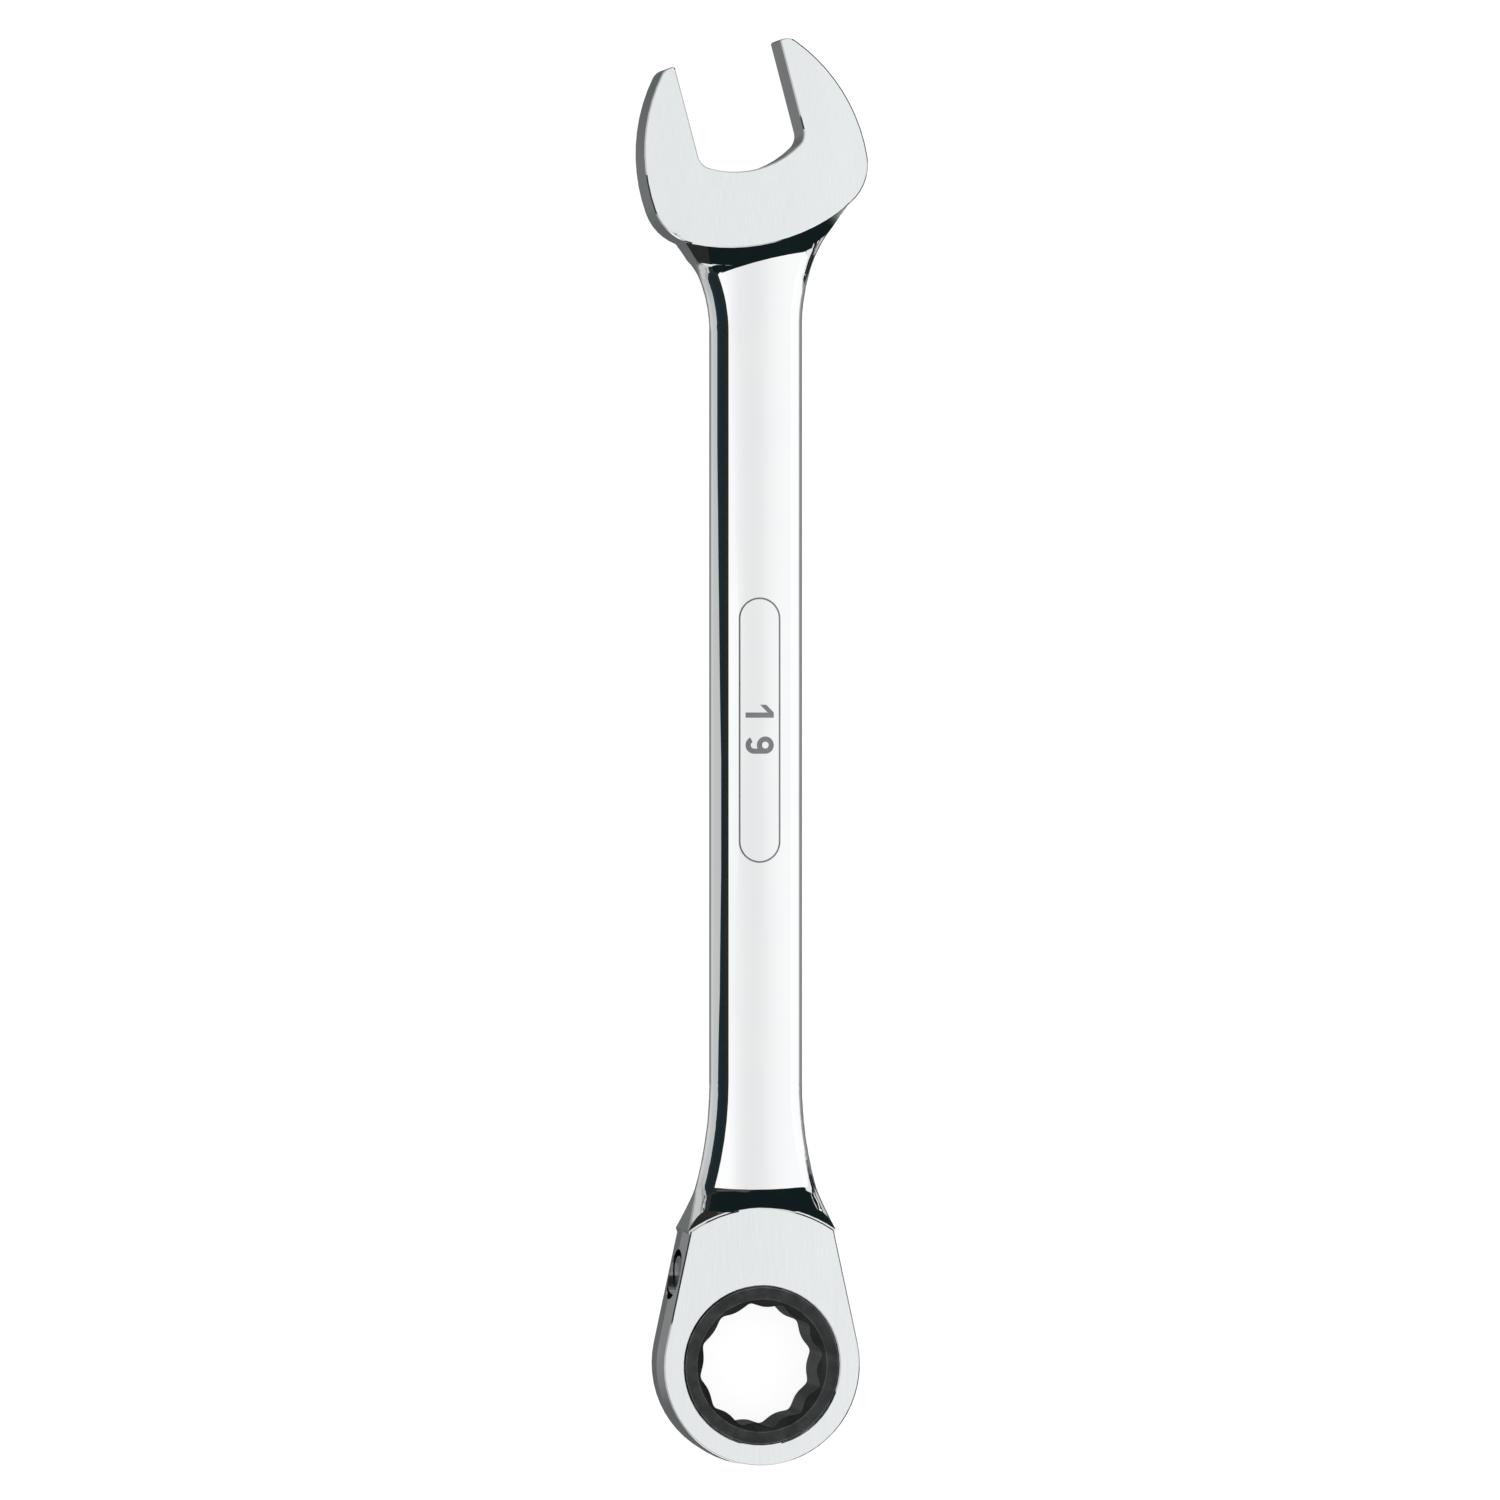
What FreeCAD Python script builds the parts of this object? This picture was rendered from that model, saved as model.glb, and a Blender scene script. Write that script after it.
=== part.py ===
import FreeCAD, Part
import math
import os

import Sketcher

# Ratcheting combination wrench, 19 mm.
#
# Frame: the origin is on the drive axis of the box end, half way through its thickness.  +Z is the
# drive axis and points out of the marked face, +Y runs along the shank to the open end, +X is to the
# right of the marked face.  All lengths are millimetres and all angles are degrees.

DIMENSIONS = {
    # Shank: a flat bar with slightly crowned faces and rounded edges.
    "shank_width": 16.2,
    "shank_thickness": 6.5,
    "crown_radius": 120.0,
    "shank_edge_radius": 2.75,
    # Box-end head.
    "ring_radius": 17.6,
    "ring_thickness": 11.0,
    "ring_taper": 12.3,
    "ring_draft": 2.5,
    "ring_corner_y": 23.5,
    "ring_neck_flare": 0.2,
    "ring_arc_radius": 22.7,
    "ring_neck_y": 49.0,
    "ring_cove_radius": 2.5,
    "ring_ramp_angle": 34.0,
    "ring_ramp_foot": 29.6,
    # Open-end head, drawn in its own axes turned by jaw_angle about its centre.
    "jaw_angle": 15.0,
    "jaw_centre_y": 205.4,
    "jaw_thickness": 8.0,
    "jaw_gap": 19.3,
    "jaw_side_radius": 30.1,
    "jaw_side_centre": 10.45,
    "jaw_side_height": 2.0,
    "jaw_tip_height": 22.6,
    "jaw_corner_radius": 8.8,
    "jaw_bottom_radius": 33.5,
    "jaw_bottom_height": 11.15,
    "throat_radius": 16.6,
    "throat_bottom": 1.9,
    "throat_corner_radius": 2.8,
    "jaw_cove_radius": 1.2,
    "jaw_ramp_angle": 30.0,
    "jaw_ramp_foot": -13.3,
    "jaw_tip_outer_radius": 2.5,
    "jaw_tip_inner_radius": 0.4,
    "left_neck_radius": 25.1,
    "left_neck_y": 179.0,
    "left_flare_y": 196.8,
    "right_neck_radius": 33.5,
    "right_neck_y": 180.0,
    "right_flare_y": 201.0,
    # Edges of both heads, and the slope outside their arched borders.
    "head_chamfer": 0.22,
    "head_slope": 9.0,
    # Chamber of the ratchet gear.
    "lip_radius": 13.75,
    "lip_bottom": 4.4,
    "chamber_radius": 14.75,
    "chamber_bottom": -3.75,
    "groove_radius": 15.45,
    "groove_bottom": -4.75,
    "bore_chamfer": 0.22,
    # Ratchet gear.
    "gear_tooth_count": 72,
    "gear_tip_radius": 14.6,
    "gear_root_radius": 13.95,
    "gear_crest": 0.27,
    "gear_collar_radius": 13.55,
    "gear_half_length": 5.35,
    "gear_flange_top": 4.3,
    "gear_flange_bottom": -3.65,
    "socket_flats": 19.15,
    "socket_crest_radius": 4.5,
    "socket_corner_radius": 1.2,
    "lead_in_radius": 11.5,
    "lead_in_depth": 2.2,
    "back_lead_in_depth": 0.9,
    # Pawl and the blind bore it works in.
    "pawl_bore_radius": 4.35,
    "pawl_bore_y": 15.7,
    "pawl_bore_end": 9.2,
    "pawl_radius": 4.15,
    "pawl_bottom": -3.55,
    "pawl_left": -13.6,
    "pawl_right": 5.5,
    "pawl_relief": 1.0,
    "pawl_tooth_count": 5,
    "mesh_clearance": 0.12,
    "gear_clearance": 0.35,
    # Spring behind the pawl.
    "spring_radius": 1.45,
    "spring_wire": 0.45,
    "spring_turns": 4.5,
    "spring_gap": 0.08,
    "spring_travel": 0.3,
    # Retaining ring.
    "clip_outer_radius": 15.3,
    "clip_inner_radius": 13.9,
    "clip_top": -3.82,
    "clip_bottom": -4.68,
    "clip_opening": 4.0,
    # Size mark on the shank.
    "mark_y": 110.0,
    "mark_length": 46.0,
    "mark_width": 7.4,
    "mark_line": 0.3,
    "mark_depth": 0.16,
    "digit_stroke": 0.9,
    "digit_height": 5.0,
    "digit_width": 3.0,
    "digit_spacing": 5.2,
}

FREE = 30.0   # reach of a cut past every face that it goes through

doc = FreeCAD.newDocument("RatchetingCombinationWrench")
sheet = doc.addObject("Spreadsheet::Sheet", "Sizes")
for row, (alias, value) in enumerate(DIMENSIONS.items(), start=1):
    sheet.set(f"A{row}", alias)
    sheet.set(f"B{row}", str(value))
    sheet.setAlias(f"B{row}", alias)
doc.recompute()


def size(alias):
    """The sheet's value for one alias."""
    return float(getattr(sheet, alias))


def point(x, y):
    return FreeCAD.Vector(x, y, 0)


def polar(radius, angle):
    """A sketch point at a radius from the origin, at an angle in radians from the sketch's x axis."""
    return point(radius * math.cos(angle), radius * math.sin(angle))


# ---------------------------------------------------------------- sketches and features

def new_body(label):
    body = doc.addObject("PartDesign::Body", label.title().replace("_", ""))
    body.Label = label
    return body


def new_sketch(body, name, role, offset=None):
    """A sketch on one of the body's own origin planes, moved on that plane by an optional offset."""
    plane = next(feature for feature in body.Origin.OriginFeatures if feature.Role == role)
    sketch = body.newObject("Sketcher::SketchObject", name)
    sketch.AttachmentSupport = [(plane, "")]
    sketch.MapMode = "FlatFace"
    if offset is not None:
        sketch.AttachmentOffset = offset
    return sketch


def constrain(sketch, kind, *arguments, bind=None):
    """One constraint; bind is the expression that drives its value."""
    index = sketch.addConstraint(Sketcher.Constraint(kind, *arguments))
    if bind is not None:
        sketch.renameConstraint(index, f"{kind.lower()}_{index}")
        sketch.setExpression(f"Constraints.{kind.lower()}_{index}", bind)
    return index


def segment(start, end):
    return Part.LineSegment(start, end)


def polygon(corners):
    """The sides of a closed polygon."""
    return [segment(start, end) for start, end in zip(corners, corners[1:] + corners[:1])]


def arc(centre, radius, start_angle, end_angle):
    """An arc that runs anticlockwise from start_angle to end_angle, both in radians."""
    circle = Part.Circle(centre, FreeCAD.Vector(0, 0, 1), radius)
    return Part.ArcOfCircle(circle, start_angle, end_angle)


def angle_of(vector):
    return math.atan2(vector.y, vector.x)


def tangent_at(edge, vertex):
    parameter = edge.FirstParameter if vertex == 1 else edge.LastParameter
    return edge.tangent(parameter)[0]


def draw_closed(sketch, edges):
    """Add the edges of a closed outline, joined end to end, smooth where they meet smoothly."""
    first = sketch.addGeometry(edges, False)[0]
    joined_ends = set()
    for place, edge in enumerate(edges):
        following = (place + 1) % len(edges)
        other = edges[following]
        a, b = next(
            (a, b)
            for a, here in ((1, edge.StartPoint), (2, edge.EndPoint))
            for b, there in ((1, other.StartPoint), (2, other.EndPoint))
            if here.distanceToPoint(there) < 1e-6
            and not {(place, a), (following, b)} & joined_ends
        )
        joined_ends |= {(place, a), (following, b)}
        smooth = tangent_at(edge, a).cross(tangent_at(other, b)).Length < 1e-6
        straight = isinstance(edge, Part.LineSegment) and isinstance(other, Part.LineSegment)
        kind = "Tangent" if smooth and not straight else "Coincident"
        constrain(sketch, kind, first + place, a, first + following, b)
    return first


def pad(body, name, sketch, length, **settings):
    """A pad whose length is an expression; other settings are set as they are."""
    feature = body.newObject("PartDesign::Pad", name)
    feature.Profile = sketch
    feature.setExpression("Length", length)
    for setting, value in settings.items():
        setattr(feature, setting, value)
    doc.recompute()
    return feature


def checked_cut(feature, before):
    """Stop if a cut took nothing away."""
    doc.recompute()
    if not feature.Shape.Volume < before - 1e-6:
        raise RuntimeError(f"{feature.Name} cuts nothing")
    return feature


def pocket(body, name, sketch, length, **settings):
    before = body.Shape.Volume
    feature = body.newObject("PartDesign::Pocket", name)
    feature.Profile = sketch
    feature.setExpression("Length", length)
    for setting, value in settings.items():
        setattr(feature, setting, value)
    return checked_cut(feature, before)


def groove(body, name, sketch, axis):
    before = body.Shape.Volume
    feature = body.newObject("PartDesign::Groove", name)
    feature.Profile = sketch
    feature.ReferenceAxis = (sketch, [axis])
    feature.Angle = 360.0
    return checked_cut(feature, before)


def combined(body, name, kind, others):
    """Combine this body with others: kind is Fuse or Common."""
    feature = body.newObject("PartDesign::Boolean", name)
    feature.Type = kind
    feature.setObjects(others)
    doc.recompute()
    return feature


def edge_names(shape, wanted):
    return [f"Edge{number}" for number, edge in enumerate(shape.Edges, start=1) if wanted(edge)]


def round_edges(body, name, radius, wanted):
    """Fillet the edges of the body's present shape that wanted(edge) accepts."""
    base = body.Tip
    names = edge_names(base.Shape, wanted)
    if not names:
        raise RuntimeError(f"{name} finds no edge")
    feature = body.newObject("PartDesign::Fillet", name)
    feature.Base = (base, names)
    feature.setExpression("Radius", radius)
    doc.recompute()
    return feature


def bevel_edges(body, name, width, wanted):
    """Chamfer the edges of the body's present shape that wanted(edge) accepts."""
    base = body.Tip
    feature = body.newObject("PartDesign::Chamfer", name)
    feature.Base = (base, edge_names(base.Shape, wanted))
    feature.setExpression("Size", width)
    doc.recompute()
    return feature


def heights(edge):
    """The lowest and highest z of an edge, in its absolute value."""
    box = edge.BoundBox
    return min(abs(box.ZMin), abs(box.ZMax)), max(abs(box.ZMin), abs(box.ZMax))


# ---------------------------------------------------------------- wrench body: the forged bar

def shank_bar(body):
    """The bar that runs from head to head: flat sides far outside, crowned faces."""
    half = size("shank_thickness") / 2
    reach = size("shank_width") * 1.1
    crown = size("crown_radius")
    spread = math.asin(reach / crown)
    drop = crown - crown * math.cos(spread)
    start = size("pawl_bore_y")
    offset = FreeCAD.Placement(FreeCAD.Vector(0, 0, -start), FreeCAD.Rotation())
    sketch = new_sketch(body, "BarSection", "XZ_Plane", offset)
    corners = [point(x, z) for x, z in (
        (-reach, half - drop),
        (-reach, drop - half),
        (reach, drop - half),
        (reach, half - drop),
    )]
    edges = [
        segment(corners[0], corners[1]),
        arc(point(0, crown - half), crown, -math.pi / 2 - spread, spread - math.pi / 2),
        segment(corners[2], corners[3]),
        arc(point(0, half - crown), crown, math.pi / 2 - spread, math.pi / 2 + spread),
    ]
    first = draw_closed(sketch, edges)
    for face in (first + 1, first + 3):
        constrain(sketch, "Radius", face, crown, bind="Sizes.crown_radius")
        constrain(sketch, "PointOnObject", face, 3, -2)
    constrain(sketch, "Horizontal", first, 1, first + 2, 2)
    constrain(sketch, "Vertical", first + 2)
    constrain(sketch, "Symmetric", first, 1, first, 2, -1)
    constrain(sketch, "DistanceX", -1, 1, first + 2, 1, reach, bind="Sizes.shank_width * 1.1")
    constrain(sketch, "DistanceY", -1, 1, first + 1, 3, crown - half,
              bind="Sizes.crown_radius - Sizes.shank_thickness / 2")
    pad(body, "Bar", sketch, "Sizes.jaw_centre_y - Sizes.pawl_bore_y", Reversed=True)


def turned_flat(angle, y):
    """Axes for a sketch on XY, turned by an angle about a point on the wrench's centre line."""
    return FreeCAD.Placement(FreeCAD.Vector(0, y, 0), FreeCAD.Rotation(FreeCAD.Vector(0, 0, 1), angle))


def turned_upright(angle, y):
    """Axes for a sketch on YZ, turned by an angle about an upright line through the centre line."""
    return FreeCAD.Placement(FreeCAD.Vector(y, 0, 0), FreeCAD.Rotation(FreeCAD.Vector(0, 1, 0), angle))


def ramp_wedge(body, name, foot, direction, angle, run, offset=None):
    """A wedge across the bar whose slopes rise from the bar's two faces towards a head.

    foot is where its slopes meet the crowns of the faces, direction is +1 or -1 along the shank.
    """
    half = size("shank_thickness") / 2
    slope = math.tan(math.radians(angle))
    near = foot - direction * half / slope
    far = foot + direction * run
    high = abs(far - near) * slope
    sketch = new_sketch(body, f"{name}Profile", "YZ_Plane", offset)
    corners = [point(near, 0), point(far, -high), point(far, high)]
    draw_closed(sketch, polygon(corners))
    return pad(body, name, sketch, "Sizes.shank_width * 2.2", Midplane=True)


def across_bar(low, high):
    """Accept the edges that cross the bar's faces between two heights along the shank."""
    def wanted(edge):
        centre = edge.CenterOfMass
        crossing = edge.BoundBox.XLength > size("shank_width")
        return crossing and low < centre.y < high and abs(centre.z) < size("shank_thickness") / 2
    return wanted


def trim_thickness(body, name, low, high, half):
    """Cut everything thicker than half on both sides between two heights along the shank."""
    sketch = new_sketch(body, f"{name}Profile", "YZ_Plane")
    for side in (1, -1):
        corners = [
            point(low, side * half),
            point(high, side * half),
            point(high, side * FREE),
            point(low, side * FREE),
        ]
        draw_closed(sketch, polygon(corners))
    pocket(body, name, sketch, "Sizes.shank_width * 4", Midplane=True)


def slope_away(body, name, centre, radius, half):
    """Turn away what stands above two cones that fall away from a head's arched border.

    The cones' axis is upright through centre, and they pass half above and below the arc of
    that radius.
    """
    offset = FreeCAD.Placement(FreeCAD.Vector(centre.x, 0, -centre.y), FreeCAD.Rotation())
    sketch = new_sketch(body, f"{name}Profile", "XZ_Plane", offset)
    fall = math.tan(math.radians(size("head_slope")))
    near = radius * 0.7
    far = radius + (half - size("shank_thickness") / 2 - 0.05) / fall
    for side in (1, -1):
        corners = [
            point(near, side * (half + (radius - near) * fall)),
            point(far, side * (half + (radius - far) * fall)),
            point(far, side * FREE),
            point(near, side * FREE),
        ]
        draw_closed(sketch, polygon(corners))
    groove(body, name, sketch, "V_Axis")


def along_sides(shape):
    """Accept the long edges between the bar's upright sides and its faces and coves."""
    half = size("shank_width") / 2
    low = size("ring_corner_y")
    keys = set()
    for face in shape.Faces:
        centre = face.CenterOfMass
        normal = face.normalAt(*face.Surface.parameter(centre))
        outer = abs(centre.x) > half - 0.1 and low < centre.y
        arched = isinstance(face.Surface, Part.Cylinder) or abs(normal.x) > 0.9
        if outer and abs(normal.z) < 1e-6 and arched:
            keys.update(edge.hashCode() for edge in face.Edges)

    def wanted(edge):
        box = edge.BoundBox
        level = box.ZLength < 1e-6 and abs(box.ZMax) > size("shank_thickness") / 2 + 0.5
        upright = box.ZLength > 2 * max(box.XLength, box.YLength)
        deep = abs(edge.CenterOfMass.z) < size("shank_thickness") / 2 - 0.8
        return edge.hashCode() in keys and not level and not upright and not deep
    return wanted


def neck_arc(side, radius, start_y, end_y):
    """The arc from the shank's side at start_y, turning outwards, to end_y; side is +1 or -1."""
    half = size("shank_width") / 2
    centre = point(side * (half + radius), start_y)
    sweep = math.asin((end_y - start_y) / radius)
    if side > 0:
        return arc(centre, radius, *sorted((math.pi, math.pi - sweep)))
    return arc(centre, radius, *sorted((0.0, sweep)))


def ring_side_x(y):
    """Half the width of the box-end head where its sides are straight, at a height along the shank."""
    taper = math.radians(size("ring_taper"))
    return (size("ring_radius") - y * math.sin(taper)) / math.cos(taper)


def ring_arch_y():
    """The height along the shank of the centre of the arch that tops the box-end head."""
    corner_y = size("ring_corner_y")
    return corner_y - math.sqrt(size("ring_arc_radius") ** 2 - ring_side_x(corner_y) ** 2)


def bar_outline():
    """The bar's outline: parallel sides that flare into each head, closed inside the heads."""
    half = size("shank_width") / 2
    corner = point(ring_side_x(size("ring_corner_y")) + size("ring_neck_flare"), size("ring_corner_y"))
    rise = size("ring_neck_y") - corner.y
    step = corner.x - half
    ring_neck_radius = (rise ** 2 + step ** 2) / (2 * step)
    right_neck = neck_arc(1, size("right_neck_radius"), size("right_neck_y"), size("right_flare_y"))
    left_neck = neck_arc(-1, size("left_neck_radius"), size("left_neck_y"), size("left_flare_y"))
    inner = point(corner.x * 0.8, size("pawl_bore_y"))
    top = point(0, size("jaw_centre_y"))
    return [
        segment(point(-inner.x, inner.y), inner),
        segment(inner, corner),
        neck_arc(1, ring_neck_radius, size("ring_neck_y"), corner.y),
        segment(point(half, size("ring_neck_y")), point(half, size("right_neck_y"))),
        right_neck,
        segment(right_neck.StartPoint, top),
        segment(top, left_neck.EndPoint),
        left_neck,
        segment(point(-half, size("left_neck_y")), point(-half, size("ring_neck_y"))),
        neck_arc(-1, ring_neck_radius, size("ring_neck_y"), corner.y),
        segment(point(-corner.x, corner.y), point(-inner.x, inner.y)),
    ]


def bar_outline_body():
    """A tall prism on the bar's outline; what the bar has in common with it is kept."""
    body = new_body("shank_outline")
    sketch = new_sketch(body, "BarOutline", "XY_Plane")
    draw_closed(sketch, bar_outline())
    pad(body, "BarPrism", sketch, "Sizes.ring_thickness * 4", Midplane=True)
    return body


def bar_body():
    """The shank with both flares, before the heads are joined to it."""
    body = new_body("shank_blank")
    shank_bar(body)
    ramp_wedge(body, "RingRamp", size("ring_ramp_foot"), -1, size("ring_ramp_angle"), 11.0)
    jaw_upright = turned_upright(size("jaw_angle"), size("jaw_centre_y"))
    ramp_wedge(body, "JawRamp", size("jaw_ramp_foot"), 1, size("jaw_ramp_angle"), 8.0, jaw_upright)
    combined(body, "BarSides", "Common", [bar_outline_body()])
    middle = size("mark_y")
    round_edges(body, "RingCoves", "Sizes.ring_cove_radius", across_bar(size("ring_corner_y"), middle))
    round_edges(body, "JawCoves", "Sizes.jaw_cove_radius", across_bar(middle, size("left_flare_y")))
    ring_half = size("ring_thickness") / 2 - size("head_chamfer")
    jaw_half = size("jaw_thickness") / 2 - size("head_chamfer")
    trim_thickness(body, "RingTrim", 0.0, middle, ring_half)
    trim_thickness(body, "JawTrim", middle, middle * 3, jaw_half)
    round_edges(body, "ShankEdges", "Sizes.shank_edge_radius", along_sides(body.Tip.Shape))
    slope_away(body, "RingSlope", point(0, ring_arch_y()), size("ring_arc_radius"), ring_half)
    jaw_flat = turned_flat(size("jaw_angle"), size("jaw_centre_y"))
    jaw_arch = jaw_flat.multVec(point(0, size("jaw_bottom_radius") - size("jaw_bottom_height")))
    slope_away(body, "JawSlope", jaw_arch, size("jaw_bottom_radius"), jaw_half)
    return body


# ---------------------------------------------------------------- wrench body: the two heads

def drafted_pad(body, name, sketch, thickness):
    """A pad to both sides of its sketch whose walls lean in by the box end's draft."""
    feature = body.newObject("PartDesign::Pad", name)
    feature.Profile = sketch
    feature.SideType = "Two sides"
    for length, taper in (("Length", "TaperAngle"), ("Length2", "TaperAngle2")):
        feature.setExpression(length, f"{thickness} / 2")
        feature.setExpression(taper, "-Sizes.ring_draft")
    doc.recompute()
    return feature


def rim_edges(thickness):
    """Accept the edges that lie in either face of a head."""
    def wanted(edge):
        low, high = heights(edge)
        return abs(low - thickness / 2) < 1e-4 and abs(high - thickness / 2) < 1e-4
    return wanted


def ring_head_body():
    """The box-end head: a round eye whose sides close in towards the shank under an arched top."""
    body = new_body("ring_head_blank")
    radius = size("ring_radius")
    taper = math.radians(size("ring_taper"))
    corner_y = size("ring_corner_y")
    corner_x = ring_side_x(corner_y)
    right_top = point(corner_x, corner_y)
    left_top = point(-corner_x, corner_y)
    top_radius = size("ring_arc_radius")
    top_centre = point(0, ring_arch_y())
    top_angle = angle_of(right_top - top_centre)
    sketch = new_sketch(body, "RingHeadOutline", "XY_Plane")
    first = draw_closed(sketch, [
        arc(point(0, 0), radius, math.pi - taper, 2 * math.pi + taper),
        segment(polar(radius, taper), right_top),
        arc(top_centre, top_radius, top_angle, math.pi - top_angle),
        segment(left_top, polar(radius, math.pi - taper)),
    ])
    constrain(sketch, "Coincident", first, 3, -1, 1)
    constrain(sketch, "Radius", first, radius, bind="Sizes.ring_radius")
    constrain(sketch, "Radius", first + 2, top_radius, bind="Sizes.ring_arc_radius")
    constrain(sketch, "DistanceY", -1, 1, first + 1, 2, corner_y, bind="Sizes.ring_corner_y")
    constrain(sketch, "Angle", -2, 1, first + 1, 1, taper, bind="Sizes.ring_taper")
    constrain(sketch, "Symmetric", first + 1, 2, first + 3, 1, -2)
    drafted_pad(body, "RingHead", sketch, "Sizes.ring_thickness")
    bevel_edges(body, "RingRims", "Sizes.head_chamfer", rim_edges(size("ring_thickness")))
    return body


def jaw_outline():
    """The open-end head without its slot, in its own axes: a kidney that narrows to two tips."""
    side_radius = size("jaw_side_radius")
    side_x = -size("jaw_side_centre")
    side_y = size("jaw_side_height")
    tip_y = size("jaw_tip_height")
    tip_x = side_x + math.sqrt(side_radius ** 2 - (tip_y - side_y) ** 2)
    corner_radius = size("jaw_corner_radius")
    bottom_radius = size("jaw_bottom_radius")
    bottom_centre = point(0, bottom_radius - size("jaw_bottom_height"))
    # The corner arc touches the side arc and the bottom arc from inside.
    side_centre = point(side_x, side_y)
    corner_centre = inner_tangent_centre(
        side_centre, side_radius - corner_radius, bottom_centre, bottom_radius - corner_radius)
    side_angle = angle_of(corner_centre - side_centre)
    bottom_angle = angle_of(corner_centre - bottom_centre)
    tip_angle = angle_of(point(tip_x, tip_y) - side_centre)
    mirrored_side = point(-side_x, side_y)
    mirrored_corner = point(-corner_centre.x, corner_centre.y)
    return [
        arc(bottom_centre, bottom_radius, -math.pi - bottom_angle, bottom_angle),
        arc(corner_centre, corner_radius, bottom_angle, side_angle),
        arc(side_centre, side_radius, side_angle, tip_angle),
        segment(point(tip_x, tip_y), point(-tip_x, tip_y)),
        arc(mirrored_side, side_radius, math.pi - tip_angle, math.pi - side_angle),
        arc(mirrored_corner, corner_radius, math.pi - side_angle, math.pi - bottom_angle),
    ]


def inner_tangent_centre(first, first_distance, second, second_distance):
    """The point at two given distances from two centres, on the right-hand and lower side."""
    gap = second - first
    along = (first_distance ** 2 - second_distance ** 2 + gap.Length ** 2) / (2 * gap.Length)
    off = math.sqrt(first_distance ** 2 - along ** 2)
    unit = FreeCAD.Vector(gap).normalize()
    normal = FreeCAD.Vector(unit.y, -unit.x, 0)
    return first + unit * along + normal * off


def slot_outline():
    """The jaw slot: two parallel flats, rounded corners and an arched throat, open past the tips."""
    half = size("jaw_gap") / 2
    open_y = size("jaw_tip_height") * 1.3
    throat_radius = size("throat_radius")
    corner_radius = size("throat_corner_radius")
    throat_centre = point(0, size("throat_bottom") + throat_radius)
    corner_x = half - corner_radius
    reach = throat_radius - corner_radius
    corner_y = throat_centre.y - math.sqrt(reach ** 2 - corner_x ** 2)
    touch = angle_of(point(corner_x, corner_y) - throat_centre)
    return [
        segment(point(half, open_y), point(-half, open_y)),
        segment(point(-half, open_y), point(-half, corner_y)),
        arc(point(-corner_x, corner_y), corner_radius, math.pi, math.pi * 2 - (math.pi + touch)),
        arc(throat_centre, throat_radius, -math.pi - touch, touch),
        arc(point(corner_x, corner_y), corner_radius, touch, 0.0),
        segment(point(half, corner_y), point(half, open_y)),
    ]


def open_head_body():
    """The open-end head with its slot, turned to the side of the shank."""
    body = new_body("open_head_blank")
    axes = turned_flat(size("jaw_angle"), size("jaw_centre_y"))
    sketch = new_sketch(body, "JawOutline", "XY_Plane", axes)
    first = draw_closed(sketch, jaw_outline())
    for arc_index, radius in (
        (first, "jaw_bottom_radius"),
        (first + 1, "jaw_corner_radius"),
        (first + 2, "jaw_side_radius"),
        (first + 4, "jaw_side_radius"),
        (first + 5, "jaw_corner_radius"),
    ):
        constrain(sketch, "Radius", arc_index, size(radius), bind=f"Sizes.{radius}")
    pad(body, "OpenHead", sketch, "Sizes.jaw_thickness", Midplane=True)
    slot = new_sketch(body, "SlotOutline", "XY_Plane", axes)
    edge = draw_closed(slot, slot_outline())
    constrain(slot, "Vertical", edge + 1)
    constrain(slot, "Vertical", edge + 5)
    constrain(slot, "DistanceX", edge + 1, 1, edge + 5, 2, size("jaw_gap"), bind="Sizes.jaw_gap")
    pocket(body, "JawSlot", slot, "Sizes.jaw_thickness * 4", Midplane=True)
    tip_y = size("jaw_tip_height")

    def tip_corner(outer):
        def wanted(edge):
            if edge.BoundBox.ZLength < size("jaw_thickness") / 3:
                return False
            own = axes.inverse().multVec(edge.CenterOfMass)
            inner = abs(abs(own.x) - size("jaw_gap") / 2) < 0.05
            return own.y > tip_y - 1.0 and inner != outer
        return wanted

    round_edges(body, "TipInnerCorners", "Sizes.jaw_tip_inner_radius", tip_corner(False))
    round_edges(body, "TipOuterCorners", "Sizes.jaw_tip_outer_radius", tip_corner(True))
    bevel_edges(body, "OpenRims", "Sizes.head_chamfer", rim_edges(size("jaw_thickness")))
    return body


# ---------------------------------------------------------------- wrench body: joined and machined

def gear_chamber(body):
    """The stepped bore of the box end: front lip, gear chamber and the retaining ring's groove.

    Each wall is a radius of the sheet, what is added to it for a chamfer, and its top and bottom.
    """
    sketch = new_sketch(body, "ChamberProfile", "XZ_Plane")
    past = size("ring_thickness")
    face = past / 2
    bevel = size("bore_chamfer")
    walls = (
        ("lip_radius", bevel, past, face),
        ("lip_radius", 0.0, face - bevel, size("lip_bottom")),
        ("chamber_radius", 0.0, size("lip_bottom"), size("chamber_bottom")),
        ("groove_radius", 0.0, size("chamber_bottom"), size("groove_bottom")),
        ("chamber_radius", 0.0, size("groove_bottom"), bevel - face),
        ("chamber_radius", bevel, -face, -past),
    )
    corners = [point(0, -past), point(0, past)]
    for alias, wider, top, bottom in walls:
        radius = size(alias) + wider
        corners += [point(radius, top), point(radius, bottom)]
    first = draw_closed(sketch, polygon(corners))
    for place, (alias, wider, top, bottom) in enumerate(walls):
        if wider == 0.0:
            wall = first + 2 + 2 * place
            constrain(sketch, "DistanceX", -1, 1, wall, 1, size(alias), bind=f"Sizes.{alias}")
    groove(body, "GearChamber", sketch, "V_Axis")


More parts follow.
